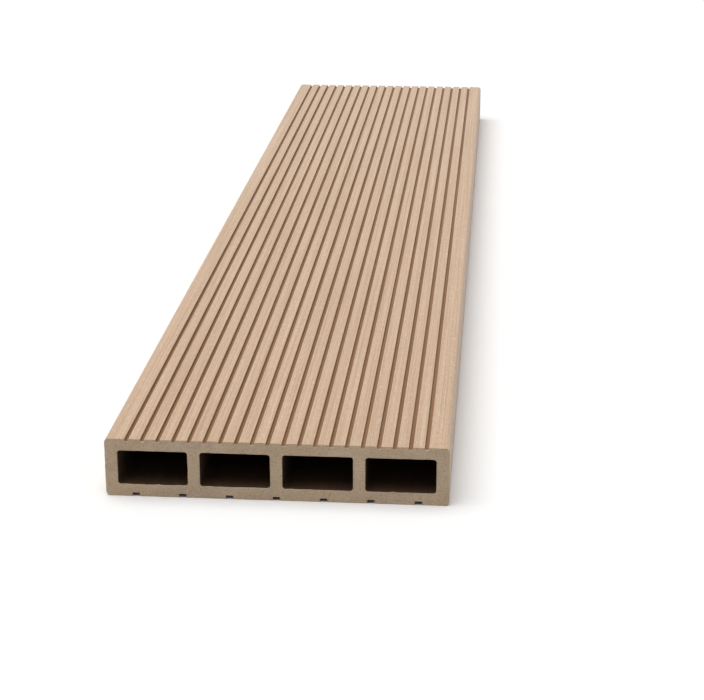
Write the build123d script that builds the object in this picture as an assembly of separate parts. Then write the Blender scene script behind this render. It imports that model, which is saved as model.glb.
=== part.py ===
"""Composite fence board: one extruded length of hollow wood-plastic profile.

X runs across the width, Y along the length and Z up through the thickness.
The board lies on its broad-grooved back, with the fine-grooved face up.
The origin is the centre of its footprint, in the plane of the back. Sizes are in millimetres.
"""
from build123d import *

import os
from math import radians, tan

# Outside of the profile, and the length it is sawn to
WIDTH = 140.0
THICKNESS = 25.0
LENGTH = 750.0
EDGE_RADIUS = 2.0

# Walls round the row of chambers, measured in from the outside
FACE_WALL = 5.2
BACK_WALL = 5.2
SIDE_WALL = 5.2
WEB = 5.0
CHAMBER_COUNT = 4
CHAMBER_RADIUS = 1.2

# Fine grooves of the face: the edge band is the least plain width beside the first groove's centre
FINE_PITCH = 6.4
FINE_WIDTH = 1.7
FINE_DEPTH = 1.2
FINE_EDGE_BAND = 8.0

# Broad grooves of the back
BROAD_PITCH = 19.2
BROAD_WIDTH = 3.2
BROAD_DEPTH = 1.5
BROAD_EDGE_BAND = 10.0

# Groove flanks: their lean off upright, the rounding of the lips and of the floor's corners
FLANK_LEAN = 8.0
LIP_RADIUS = 0.25
ROOT_RADIUS = 0.3


def row_of_centres(pitch, edge_band):
    """Centres of as many grooves as fit between the edge bands, spread evenly about the middle."""
    count = int((WIDTH - 2 * edge_band) / pitch) + 1
    return [(index - (count - 1) / 2) * pitch for index in range(count)]


def groove_corners(centres, width, depth):
    """Four corners of each groove from left to right, as pairs of x and distance into the board."""
    half_mouth = width / 2
    half_floor = half_mouth - depth * tan(radians(FLANK_LEAN))
    corners = []
    for x in centres:
        corners.append((x - half_mouth, 0))
        corners.append((x - half_floor, depth))
        corners.append((x + half_floor, depth))
        corners.append((x + half_mouth, 0))
    return corners


def groove_radii(centres, depth):
    """Roundings of those corners, each limited to a third of the flank that it shares."""
    lip = min(LIP_RADIUS, depth / 3)
    root = min(ROOT_RADIUS, depth / 3)
    return [lip, root, root, lip] * len(centres)


def outline():
    """Closed outline of the profile, from the lower left corner anticlockwise, grooves included."""
    broad = row_of_centres(BROAD_PITCH, BROAD_EDGE_BAND)
    fine = row_of_centres(FINE_PITCH, FINE_EDGE_BAND)
    back = groove_corners(broad, BROAD_WIDTH, BROAD_DEPTH)
    face = groove_corners(fine, FINE_WIDTH, FINE_DEPTH)
    half = WIDTH / 2
    points = [(-half, 0)] + back + [(half, 0), (half, THICKNESS)]
    points += [(x, THICKNESS - depth) for x, depth in reversed(face)] + [(-half, THICKNESS)]
    radii = [EDGE_RADIUS] + groove_radii(broad, BROAD_DEPTH) + [EDGE_RADIUS, EDGE_RADIUS]
    radii += groove_radii(fine, FINE_DEPTH) + [EDGE_RADIUS]
    return FilletPolyline(*points, radius=radii, close=True)


def board():
    """The hollow section, carried straight along the length and sawn square at both ends."""
    chamber_width = (WIDTH - 2 * SIDE_WALL - (CHAMBER_COUNT - 1) * WEB) / CHAMBER_COUNT
    chamber_height = THICKNESS - FACE_WALL - BACK_WALL
    chamber_middle = BACK_WALL + chamber_height / 2
    with BuildPart() as extrusion:
        with BuildSketch(Plane.XZ):
            with BuildLine():
                outline()
            make_face()
            with Locations((0, chamber_middle)):
                with GridLocations(chamber_width + WEB, 0, CHAMBER_COUNT, 1):
                    RectangleRounded(chamber_width, chamber_height, CHAMBER_RADIUS, mode=Mode.SUBTRACT)
        extrude(amount=LENGTH / 2, both=True)
    return extrusion.part


os.makedirs("parts", exist_ok=True)
export_step(board(), "parts/fence_board.step")
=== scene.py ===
"""Looks of the composite fence board: its brushed, grooved skin, sawn ends and hollow chambers.

Lengths are in metres. The section is worked out in complex numbers, x across the board plus i times
z up through it, so that a turn in its plane is one product.
"""
import math

import bpy
import numpy as np
from mathutils import Euler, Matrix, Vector
from mathutils.geometry import delaunay_2d_cdt


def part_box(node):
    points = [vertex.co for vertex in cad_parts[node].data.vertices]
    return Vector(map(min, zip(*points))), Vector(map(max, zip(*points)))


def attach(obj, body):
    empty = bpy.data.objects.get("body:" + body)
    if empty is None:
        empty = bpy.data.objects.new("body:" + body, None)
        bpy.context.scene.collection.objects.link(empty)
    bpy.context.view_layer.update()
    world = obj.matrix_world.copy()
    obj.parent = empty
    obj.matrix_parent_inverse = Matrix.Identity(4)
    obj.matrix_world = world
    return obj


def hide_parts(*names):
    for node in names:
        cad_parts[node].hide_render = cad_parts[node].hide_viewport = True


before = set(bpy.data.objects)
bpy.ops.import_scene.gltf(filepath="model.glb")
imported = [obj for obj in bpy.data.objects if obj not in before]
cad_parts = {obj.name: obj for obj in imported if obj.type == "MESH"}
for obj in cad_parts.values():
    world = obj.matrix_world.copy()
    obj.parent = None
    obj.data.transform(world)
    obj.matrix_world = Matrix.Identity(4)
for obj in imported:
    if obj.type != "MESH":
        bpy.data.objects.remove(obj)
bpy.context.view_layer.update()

MM = 0.001
NODE = "fence_board"
board_low, board_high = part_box(NODE)
WIDTH = board_high.x - board_low.x
THICKNESS = board_high.z - board_low.z
NEAR_END = board_low.y
FAR_END = board_high.y

# Section of the solid
EDGE_RADIUS = 2.0 * MM
WALL = 5.2 * MM
WEB = 5.0 * MM
CHAMBER_COUNT = 4
CHAMBER_RADIUS = 1.2 * MM
FINE_PITCH = 6.4 * MM
FINE_COUNT = 20
FINE_WIDTH = 1.7 * MM
FINE_DEPTH = 1.2 * MM
BROAD_PITCH = 19.2 * MM
BROAD_COUNT = 7
BROAD_WIDTH = 3.2 * MM
BROAD_DEPTH = 1.5 * MM
FLANK_LEAN = math.radians(8)
LIP_RADIUS = 0.25 * MM
ROOT_RADIUS = 0.3 * MM

# Arrises of the sawn ends: an even break with chips in it, which a higher power makes rarer
ARRIS = 0.12 * MM
DEEPEST_CHIP = 1.0 * MM
CHIP_LENGTH = 2.5 * MM
CHIP_POWER = 4

# Depths in a groove from which the brush starts to miss it, and below which it reaches nothing
BRUSH_FADES_FROM = 0.1 * MM
BRUSH_ENDS_AT = 0.55 * MM

# Greatest cover of the darker tone that sets one crest apart from the next
TONE_SHARE = 0.25

# Mesh: steps of each rounded corner, the longest straight step, and how near two points count as one
CORNER_STEPS = 6
SECTION_STEP = 1.0 * MM
SAME_POINT = 0.0001 * MM

# A carried section has four rings, the outer two in the sawn ends, and so three strips of faces
NEAR_RING, FAR_RING = 0, 3
NEAR_ARRIS, WALL_STRIP, FAR_ARRIS = 0, 1, 2

# Material slots of the mesh
SKIN, SAWN, HOLLOW = 0, 1, 2

# Places on the baking map: the skin, the chambers and the ends lie in bands above each other
BAKE_MAP = "OFBake"
MAP_GAP = 0.006
SKIN_TOP = 0.8
CHAMBERS_TOP = 0.89

# Polyethylene, which binds the wood flour and gives the board its gloss
BINDER_IOR = 1.5

# Ranges of a noise that become 0 to 1: all its middle for clouds and streaks, only its peaks for flecks
CLOUDS = (0.35, 0.65)
STREAKS = (0.3, 0.7)
FLECKS = (0.56, 0.72)

# Blender's own numbers: the Mix node's colour sockets, a wave's angle per unit, filling inside borders
UNDER, OVER, MIXED = 6, 7, 2
WAVE_ANGLE = 20
INSIDE_BORDERS = 1

# Light that together shows white as white: a wide lamp, leaning from overhead, and a sky, dim low down
LAMP_LIGHT = 0.66
LAMP_SPREAD = math.radians(60)
LAMP_TO_FRONT = math.radians(3)
LAMP_TO_LEFT = math.radians(12)
SKY_LOW = 0.16
SKY_OVERHEAD = 0.5

# Half the side of the square floor
FLOOR_HALF = 30.0

# Camera, measured from the photograph, for a sensor 36 mm wide
CAMERA_PLACE = (0.0874, -1.0758, 0.3066)
CAMERA_TURN_LEFT = math.radians(4.62)
CAMERA_LOOK_DOWN = math.radians(18.93)
CAMERA_LENS = 96.6

# Seeded, so that every run has the same chips and tones
draw = np.random.default_rng(7)


def rounded(corners, radii):
    """Points and outward normals of a closed outline with every corner turned into an arc.

    The outline keeps the material on its left. Each arc starts its radius times the tangent of half the
    turn before the corner, and its normal turns evenly from square to the run before to square to the
    run after.
    """
    run_in = corners - np.roll(corners, 1)
    run_in /= abs(run_in)
    run_out = np.roll(run_in, -1)
    turn = np.angle(run_out / run_in)
    reach = radii * np.sign(turn)
    centre = corners - run_in * radii * np.tan(abs(turn) / 2) + 1j * run_in * reach
    share = np.linspace(0, 1, CORNER_STEPS + 1)
    normals = -1j * run_in[:, None] * np.exp(1j * turn[:, None] * share)
    points = centre[:, None] + reach[:, None] * normals
    return points.ravel(), normals.ravel()


def walked(points):
    """Distance walked round a closed outline up to each of its points, and at last all the way round."""
    steps = abs(np.roll(points, -1) - points)
    return np.concatenate([[0], np.cumsum(steps)])


def divided(points, normals):
    """The outline with more points on its straight runs, a step apart and a quarter clear of its own."""
    walk = walked(points)
    extra = np.arange(0, walk[-1], SECTION_STEP)
    apart = abs(extra[:, None] - walk).min(axis=1)
    stops = np.union1d(walk[:-1], extra[apart > SECTION_STEP / 4])
    points = np.interp(stops, walk, np.append(points, points[0]))
    normals = np.interp(stops, walk, np.append(normals, normals[0]))
    return points, normals


def groove_row(count, pitch, width, depth):
    """Corners of a centred row of grooves in a face at zero: mouth, floor, floor, mouth, left to right."""
    centres = (np.arange(count) - (count - 1) / 2) * pitch
    half_mouth = width / 2
    half_floor = half_mouth - depth * math.tan(FLANK_LEAN)
    shape = np.array([-half_mouth, -half_floor + 1j * depth, half_floor + 1j * depth, half_mouth])
    return (centres[:, None] + shape).ravel()


def board_outline():
    """Outside of the section, anticlockwise from its lower left corner, with the grooves of both faces."""
    back = groove_row(BROAD_COUNT, BROAD_PITCH, BROAD_WIDTH, BROAD_DEPTH)
    face = groove_row(FINE_COUNT, FINE_PITCH, FINE_WIDTH, FINE_DEPTH)
    half = WIDTH / 2
    top = 1j * THICKNESS
    corners = np.concatenate([[-half], back, [half, half + top], np.conj(face[::-1]) + top, [-half + top]])
    groove = [LIP_RADIUS, ROOT_RADIUS, ROOT_RADIUS, LIP_RADIUS]
    edge = [EDGE_RADIUS]
    radii = edge + groove * BROAD_COUNT + edge * 2 + groove * FINE_COUNT + edge
    return divided(*rounded(corners, np.array(radii)))


def chamber_outlines():
    """The chambers' sections, clockwise, so that their normals point into the hollow."""
    width = (WIDTH - 2 * WALL - (CHAMBER_COUNT - 1) * WEB) / CHAMBER_COUNT
    height = THICKNESS - 2 * WALL
    shape = np.array([0, 1j * height, width + 1j * height, width])
    radii = np.full(len(shape), CHAMBER_RADIUS)
    starts = -WIDTH / 2 + WALL + 1j * WALL + np.arange(CHAMBER_COUNT) * (width + WEB)
    return [divided(*rounded(start + shape, radii)) for start in starts]


def chips(walk):
    """How far the broken arris reaches along the board: a thin even break, with a few longer chips.

    Random heights a chip's length apart are joined by straight lines round the outline and raised to
    a power, so that most of the arris stays crisp.
    """
    count = int(walk[-1] / CHIP_LENGTH)
    heights = draw.random(count)
    knots = np.linspace(0, walk[-1], count + 1)
    height = np.interp(walk[:-1], knots, np.append(heights, heights[0]))
    return ARRIS + (DEEPEST_CHIP - ARRIS) * height**CHIP_POWER


def carried(points, normals):
    """A section carried from end to end: four rings, the inner two set in from the sawn ends by the chips.

    The end rings are drawn into the material by the depth of the arris, which breaks the edge.
    Returns the rings as an array of ring, point and x, y, z.
    """
    walk = walked(points)
    near, far = chips(walk), chips(walk)
    full = np.ones_like(near)
    broken = points - ARRIS * normals
    sections = np.array([broken, points, points, broken])
    places = np.array([NEAR_END * full, NEAR_END + near, FAR_END - far, FAR_END * full])
    return np.stack([sections.real, places, sections.imag], axis=-1)


def numbered(counts):
    """Running numbers from 0, split into an array for each of the counts."""
    return np.split(np.arange(sum(counts)), np.cumsum(counts)[:-1])


def strip_faces(numbers):
    """Quads between neighbouring rings of a closed section, from vertex numbers by ring and point."""
    along = np.roll(numbers, -1, axis=1)
    return np.stack([numbers[:-1], numbers[1:], along[1:], along[:-1]], axis=-1)


def end_faces(numbers, rings):
    """Delaunay triangles that fill one sawn end, anticlockwise, between the outline and the chambers.

    The rings that border it come as their vertices' numbers and places, and the outline is the first.
    A triangle with all its corners on one chamber lies in the hollow and is left out.
    """
    counts = [len(ring) for ring in rings]
    owner = np.repeat(np.arange(len(counts)), counts)
    borders = np.concatenate([np.stack([turn, np.roll(turn, -1)], axis=1) for turn in numbered(counts)])
    flat = np.concatenate(rings)[:, [0, 2]]
    _, _, faces, origins, _, _ = delaunay_2d_cdt(
        flat.tolist(), borders.tolist(), [], INSIDE_BORDERS, SAME_POINT
    )
    # No point is added or merged, so each one of the filling has a single origin among those given.
    triangles = np.concatenate(origins)[np.array(faces)]
    owners = owner[triangles]
    hollow = (owners[:, 0] > 0) & (owners == owners[:, :1]).all(axis=1)
    return np.concatenate(numbers)[triangles[~hollow]]


def board_faces(tubes):
    """Vertex numbers of the faces: a list of the tubes' walls, then all broken arrises, then both ends.

    The vertices are numbered tube by tube, and in a tube ring by ring.
    """
    numbers = numbered([tube.shape[0] * tube.shape[1] for tube in tubes])
    numbers = [number.reshape(tube.shape[:2]) for number, tube in zip(numbers, tubes)]
    strips = [strip_faces(number) for number in numbers]
    walls = [strip[WALL_STRIP] for strip in strips]
    arrises = np.concatenate([strip[part] for strip in strips for part in (NEAR_ARRIS, FAR_ARRIS)])
    near, far = [
        end_faces([number[ring] for number in numbers], [tube[ring] for tube in tubes])
        for ring in (NEAR_RING, FAR_RING)
    ]
    return walls, arrises, np.concatenate([near, far[:, ::-1]])


def linear(hex_colour):
    """An sRGB hex colour as the linear red, green, blue and alpha that Blender's sockets take."""
    srgb = np.array([int(hex_colour[i:i + 2], 16) for i in (1, 3, 5)]) / 255
    value = np.where(srgb <= 0.04045, srgb / 12.92, ((srgb + 0.055) / 1.055) ** 2.4)
    return (*value.tolist(), 1.0)


def add_node(tree, kind, links=None, values=None, **settings):
    """Adds a node with its settings, then the values and links of its inputs, by name or number."""
    node = tree.nodes.new(kind)
    for name, setting in settings.items():
        setattr(node, name, setting)
    for name, value in (values or {}).items():
        node.inputs[name].default_value = value
    for name, socket in (links or {}).items():
        tree.links.new(socket, node.inputs[name])
    return node


def new_material(name):
    """An empty node material and its output node."""
    material = bpy.data.materials.new(name)
    material.use_nodes = True
    material.node_tree.nodes.clear()
    return material, add_node(material.node_tree, "ShaderNodeOutputMaterial")


def grain(tree, place, across, along, spread, strength=1.0, detail=2.0, harshness=0.5, shift=0.0):
    """Grains that many millimetres across and along the board: a stretched noise, from 0 to strength.

    Each step of detail adds grains half as large, as strong as the harshness times the last. The spread
    is the range of the noise that is used, and a shift sets one pattern apart from the others.
    """
    size = (1 / (across * MM), 1 / (along * MM), 1 / (across * MM))
    stretched = add_node(
        tree, "ShaderNodeMapping", {"Vector": place}, {"Scale": size, "Location": (shift, shift, shift)}
    )
    noise = add_node(
        tree,
        "ShaderNodeTexNoise",
        {"Vector": stretched.outputs[0]},
        {"Scale": 1.0, "Detail": detail, "Roughness": harshness},
    )
    low, high = spread
    part = add_node(
        tree,
        "ShaderNodeMapRange",
        {"Value": noise.outputs[0]},
        {"From Min": low, "From Max": high, "To Max": strength},
    )
    return part.outputs[0]


def layered(tree, ground, layers):
    """A ground colour under thin layers, each a pair of the pattern that it covers and its own colour."""
    below = {}
    for cover, over in layers:
        values = {UNDER: linear(ground), OVER: linear(over)}
        mix = add_node(tree, "ShaderNodeMix", {"Factor": cover} | below, values, data_type="RGBA")
        below = {UNDER: mix.outputs[MIXED]}
    return mix.outputs[MIXED]


def brushed_composite():
    """Wood flour and polyethylene, extruded and then brushed lengthways.

    The brush leaves a pale, finely streaked surface with chopped fibres in it and a faint polish, and
    doesn't reach into the grooves, whose raw skin stays darker, warmer and duller.
    """
    material, output = new_material("brushed_wood_plastic_composite")
    tree = material.node_tree
    place = add_node(tree, "ShaderNodeTexCoord").outputs["Object"]
    reached = add_node(tree, "ShaderNodeAttribute", attribute_name="brushed").outputs["Fac"]
    tone = add_node(tree, "ShaderNodeAttribute", attribute_name="tone").outputs["Fac"]

    drift = grain(tree, place, across=9, along=240, spread=CLOUDS)
    # Brush lines are finer than this, and are drawn as coarse as the picture needs to show them.
    lines = grain(tree, place, across=0.6, along=130, spread=STREAKS, detail=3.0, harshness=0.6)
    mottle = grain(tree, place, across=1.8, along=4, spread=CLOUDS, strength=0.25, shift=1.7)
    pale_fibres = grain(tree, place, across=0.45, along=4, spread=FLECKS, strength=0.45, shift=3.1)
    dark_fibres = grain(tree, place, across=0.4, along=3, spread=FLECKS, strength=0.35, shift=7.7)

    crest_layers = [
        (drift, "#DCBD9F"),
        (mottle, "#BC9A79"),
        (lines, "#B3906E"),
        (pale_fibres, "#EAD6BD"),
        (dark_fibres, "#8E684A"),
        (tone, "#C2A181"),
    ]
    crest = layered(tree, "#D5B697", crest_layers)
    groove = layered(tree, "#8E653A", [(lines, "#74512E")])
    colour = add_node(
        tree, "ShaderNodeMix", {"Factor": reached, UNDER: groove, OVER: crest}, data_type="RGBA"
    ).outputs[MIXED]

    groove_dullness = 0.6
    crest_dullness = 0.44
    dullness = add_node(
        tree,
        "ShaderNodeMapRange",
        {"Value": reached},
        {"To Min": groove_dullness, "To Max": crest_dullness},
    ).outputs[0]
    relief = add_node(tree, "ShaderNodeMath", {0: lines, 1: pale_fibres}, operation="ADD").outputs[0]
    bump = add_node(
        tree, "ShaderNodeBump", {"Height": relief}, {"Strength": 0.6, "Distance": 0.12 * MM}
    )
    surface = add_node(
        tree,
        "ShaderNodeBsdfPrincipled",
        {"Base Color": colour, "Roughness": dullness, "Normal": bump.outputs[0]},
        {"IOR": BINDER_IOR},
    )
    tree.links.new(surface.outputs[0], output.inputs[0])
    return material


def sawn_composite():
    """The same composite sawn across: granular, dull and mottled, with faint arcs of a round blade."""
    material, output = new_material("sawn_wood_plastic_composite")
    tree = material.node_tree
    place = add_node(tree, "ShaderNodeTexCoord").outputs["Object"]
    mottle = grain(tree, place, across=7, along=7, spread=CLOUDS)
    warm = grain(tree, place, across=11, along=11, spread=CLOUDS, strength=0.5, shift=2.3)
    grains = grain(tree, place, across=0.8, along=0.8, spread=STREAKS, strength=0.5, detail=3.0)
    # Small dark flecks in the sawn face, darker in colour only, with no relief of their own.
    dark_flecks = grain(tree, place, across=0.6, along=0.6, spread=FLECKS, strength=0.5, shift=5.3)

    # The blade's centre lies below the board, to the right of its middle, and is moved to the origin.
    from_blade = (-35 * MM, 0.0, 110 * MM)
    arc_spacing = 1.4 * MM
    arc_strength = 0.15
    centred = add_node(tree, "ShaderNodeMapping", {"Vector": place}, {"Location": from_blade})
    arcs = add_node(
        tree,
        "ShaderNodeTexWave",
        {"Vector": centred.outputs[0]},
        {
            "Scale": math.tau / (WAVE_ANGLE * arc_spacing),
            "Distortion": 1.0,
            "Detail": 2.0,
            "Detail Scale": 0.3,
        },
        wave_type="RINGS",
        rings_direction="Y",
    ).outputs["Fac"]
    score = add_node(tree, "ShaderNodeMapRange", {"Value": arcs}, {"To Max": arc_strength}).outputs[0]

    sawn_layers = [
        (mottle, "#D1BA9E"),
        (warm, "#CDAD89"),
        (grains, "#DDC8AD"),
        (score, "#B49C82"),
        (dark_flecks, "#80624A"),
    ]
    colour = layered(tree, "#BDA78D", sawn_layers)
    relief = add_node(tree, "ShaderNodeMath", {0: grains, 1: score}, operation="ADD").outputs[0]
    bump = add_node(
        tree, "ShaderNodeBump", {"Height": relief}, {"Strength": 0.7, "Distance": 0.15 * MM}
    )
    surface = add_node(
        tree,
        "ShaderNodeBsdfPrincipled",
        {"Base Color": colour, "Normal": bump.outputs[0]},
        {"IOR": BINDER_IOR, "Roughness": 0.85},
    )
    tree.links.new(surface.outputs[0], output.inputs[0])
    return material


def chamber_skin_painted_shade():
    """The raw skin inside the chambers as it left the die, faintly glossy, with long die lines, and
    painted dark: painted shade of the deep chambers, far darker than the same skin in the grooves.
    """
    material, output = new_material("wood_plastic_skin_painted_shade")
    tree = material.node_tree
    place = add_node(tree, "ShaderNodeTexCoord").outputs["Object"]
    lines = grain(tree, place, across=0.9, along=160, spread=STREAKS, detail=3.0)
    cloud = grain(tree, place, across=8, along=30, spread=CLOUDS, strength=0.3)
    # Painted shade: these dark colours stand for the shade deep in the chambers, not for the skin's own
    # colour.
    colour = layered(tree, "#433123", [(lines, "#503D2D"), (cloud, "#38281B")])
    bump = add_node(
        tree, "ShaderNodeBump", {"Height": lines}, {"Strength": 0.4, "Distance": 0.05 * MM}
    )
    surface = add_node(
        tree,
        "ShaderNodeBsdfPrincipled",
        {"Base Color": colour, "Normal": bump.outputs[0]},
        {"IOR": BINDER_IOR, "Roughness": 0.5},
    )
    tree.links.new(surface.outputs[0], output.inputs[0])
    return material


def finish_values(rings):
    """How far the brush reaches each vertex, from 1 on a crest to 0 in a groove, and each crest's tone.

    The reach falls with the depth by the smooth step, three times the square less twice the cube.
    """
    x, z = rings[..., 0], rings[..., 2]
    depth = np.minimum(z, THICKNESS - z)
    plain_edge = abs(x) > WIDTH / 2 - EDGE_RADIUS - SECTION_STEP
    depth = np.where(plain_edge, 0, depth)
    share = np.clip((depth - BRUSH_FADES_FROM) / (BRUSH_ENDS_AT - BRUSH_FADES_FROM), 0, 1)
    brushed = 1 - share * share * (3 - 2 * share)
    # The face has a crest in the middle, and the back has a groove there, with a strip on each side.
    crest_tones = draw.random(2 * FINE_COUNT)
    strip_tones = draw.random(2 * BROAD_COUNT)
    crest = crest_tones[np.rint(x / FINE_PITCH).astype(int) + FINE_COUNT]
    strip = strip_tones[np.floor(x / BROAD_PITCH).astype(int) + BROAD_COUNT]
    return brushed, TONE_SHARE * np.where(z > THICKNESS / 2, crest, strip)


def paint_finish(mesh, outside):
    """Stores the finish on the vertices: the outside's come first, and all others are left at 0."""
    for name, values in zip(("brushed", "tone"), finish_values(outside)):
        painted = np.zeros(len(mesh.vertices), dtype=np.float32)
        painted[:values.size] = values.ravel()
        mesh.attributes.new(name, "FLOAT", "POINT").data.foreach_set("value", painted)


def wall_corners(before, after):
    """What the four corners of each wall quad have, from the values at its two points of the section."""
    return np.stack([before, before, after, after], axis=1)


def wall_map(walk, low, high):
    """A wall's place on the baking map: the length runs along it, and the walk round the section up it."""
    up = low + (high - low) * walk / walk[-1]
    rise = wall_corners(up[:-1], up[1:])
    run = np.broadcast_to([MAP_GAP, 1 - MAP_GAP, 1 - MAP_GAP, MAP_GAP], rise.shape)
    return np.stack([run, rise], axis=-1)


def end_map(corners):
    """The ends' places on the baking map: seen from the front, the near end on the left of the far one."""
    half = 0.5 - 2 * MAP_GAP
    run = (corners[..., 0] - board_low.x) / WIDTH * half + MAP_GAP
    run = run + np.where(corners[..., 1] > 0, 0.5, 0)
    rise = (corners[..., 2] - board_low.z) / THICKNESS
    rise = CHAMBERS_TOP + MAP_GAP + rise * (1 - CHAMBERS_TOP - 2 * MAP_GAP)
    return np.stack([run, rise], axis=-1)


def baking_map(sections, arris_corners, end_corners):
    """Places of all face corners on the baking map, in the order of the faces: walls, arrises, ends."""
    bands = np.append(0, np.linspace(SKIN_TOP, CHAMBERS_TOP, CHAMBER_COUNT + 1))
    maps = [
        wall_map(walked(points), low + MAP_GAP / 2, high - MAP_GAP / 2)
        for (points, _), low, high in zip(sections, bands[:-1], bands[1:])
    ]
    maps += [end_map(arris_corners), end_map(end_corners)]
    return np.concatenate([part.reshape(-1, 2) for part in maps])


def corner_normals(mesh, sections):
    """Normals of all face corners: the section's own on the walls, which come first, flat on the rest."""
    flat = np.zeros(3 * len(mesh.polygons), dtype=np.float32)
    mesh.polygons.foreach_get("normal", flat)
    sides = np.zeros(len(mesh.polygons), dtype=np.int32)
    mesh.polygons.foreach_get("loop_total", sides)
    shaded = np.repeat(flat.reshape(-1, 3), sides, axis=0)
    smooth = []
    for _, normals in sections:
        square = np.stack([normals.real, np.zeros(len(normals)), normals.imag], axis=-1)
        square /= np.linalg.norm(square, axis=-1, keepdims=True)
        smooth.append(wall_corners(square, np.roll(square, -1, axis=0)).reshape(-1, 3))
    smooth = np.concatenate(smooth)
    shaded[:len(smooth)] = smooth
    return shaded


def board_piece():
    """The whole board as one closed mesh: its outside, its chambers and its two sawn ends."""
    sections = [board_outline(), *chamber_outlines()]
    tubes = [carried(points, normals) for points, normals in sections]
    walls, arrises, ends = board_faces(tubes)
    places = np.concatenate([tube.reshape(-1, 3) for tube in tubes])
    quads = np.concatenate([*walls, arrises])
    mesh = bpy.data.meshes.new("brushed_board")
    mesh.from_pydata(places.tolist(), [], quads.tolist() + ends.tolist(), shade_flat=False)

    for material in (brushed_composite(), sawn_composite(), chamber_skin_painted_shade()):
        mesh.materials.append(material)
    skin_count = len(walls[0])
    hollow_count = sum(len(wall) for wall in walls[1:])
    sawn_count = len(arrises) + len(ends)
    slots = np.repeat([SKIN, HOLLOW, SAWN], [skin_count, hollow_count, sawn_count])
    mesh.polygons.foreach_set("material_index", slots.astype(np.int32))

    paint_finish(mesh, tubes[0])
    baking = baking_map(sections, places[arrises], places[ends])
    mesh.uv_layers.new(name=BAKE_MAP).data.foreach_set("uv", baking.ravel().astype(np.float32))
    mesh.update()
    mesh.normals_split_custom_set(corner_normals(mesh, sections).tolist())
    piece = bpy.data.objects.new("brushed_board", mesh)
    bpy.context.scene.collection.objects.link(piece)
    return piece


def shows_background(tree):
    """1 for rays that show the background: from the camera, off a glossy surface or through glass."""
    path = add_node(tree, "ShaderNodeLightPath").outputs
    seen = add_node(
        tree,
        "ShaderNodeMath",
        {0: path["Is Camera Ray"], 1: path["Is Glossy Ray"]},
        operation="MAXIMUM",
    ).outputs[0]
    return add_node(
        tree, "ShaderNodeMath", {0: seen, 1: path["Is Transmission Ray"]}, operation="MAXIMUM"
    ).outputs[0]


def floor_piece():
    """A wide level floor at the board's underside, white to the eye and grey to the light it returns."""
    material, output = new_material("matt_white_floor")
    tree = material.node_tree
    colour = layered(tree, "#C8C8C8", [(shows_background(tree), "#FFFFFF")])
    matt = add_node(tree, "ShaderNodeBsdfDiffuse", {"Color": colour})
    tree.links.new(matt.outputs[0], output.inputs[0])
    sides = ((-1, -1), (1, -1), (1, 1), (-1, 1))
    corners = [(x * FLOOR_HALF, y * FLOOR_HALF, board_low.z) for x, y in sides]
    mesh = bpy.data.meshes.new("floor")
    mesh.from_pydata(corners, [], [(0, 1, 2, 3)])
    mesh.materials.append(material)
    floor = bpy.data.objects.new("floor", mesh)
    bpy.context.scene.collection.objects.link(floor)
    return floor


def light():
    """A wide soft lamp from above, and a sky that is dimmer low down and white to the eye."""
    lamp = bpy.data.lights.new("wide_lamp", "SUN")
    lamp.energy = LAMP_LIGHT * math.pi
    lamp.angle = LAMP_SPREAD
    holder = bpy.data.objects.new("wide_lamp", lamp)
    holder.rotation_euler = Euler((LAMP_TO_FRONT, -LAMP_TO_LEFT, 0))
    bpy.context.scene.collection.objects.link(holder)

    world = bpy.data.worlds.new("studio")
    world.use_nodes = True
    bpy.context.scene.world = world
    tree = world.node_tree
    tree.nodes.clear()
    output = add_node(tree, "ShaderNodeOutputWorld")
    way = add_node(tree, "ShaderNodeTexCoord").outputs["Generated"]
    height = add_node(tree, "ShaderNodeSeparateXYZ", {0: way}).outputs["Z"]
    sky = add_node(
        tree, "ShaderNodeMapRange", {"Value": height}, {"To Min": SKY_LOW, "To Max": SKY_OVERHEAD}
    ).outputs[0]
    strength = add_node(
        tree, "ShaderNodeMath", {0: sky, 1: shows_background(tree)}, operation="MAXIMUM"
    ).outputs[0]
    background = add_node(
        tree, "ShaderNodeBackground", {"Strength": strength}, {"Color": linear("#FFFFFF")}
    )
    tree.links.new(background.outputs[0], output.inputs[0])


def camera():
    """The photograph's viewpoint: in front of the near end, a little to the right, looking down."""
    lens = bpy.data.cameras.new("camera")
    lens.lens = CAMERA_LENS
    holder = bpy.data.objects.new("camera", lens)
    holder.location = CAMERA_PLACE
    holder.rotation_euler = Euler((math.pi / 2 - CAMERA_LOOK_DOWN, 0, CAMERA_TURN_LEFT))
    bpy.context.scene.collection.objects.link(holder)
    bpy.context.scene.camera = holder


board = board_piece()
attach(board, "root")
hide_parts(NODE)
floor_piece()
light()
camera()
bpy.context.scene.view_settings.view_transform = "Standard"
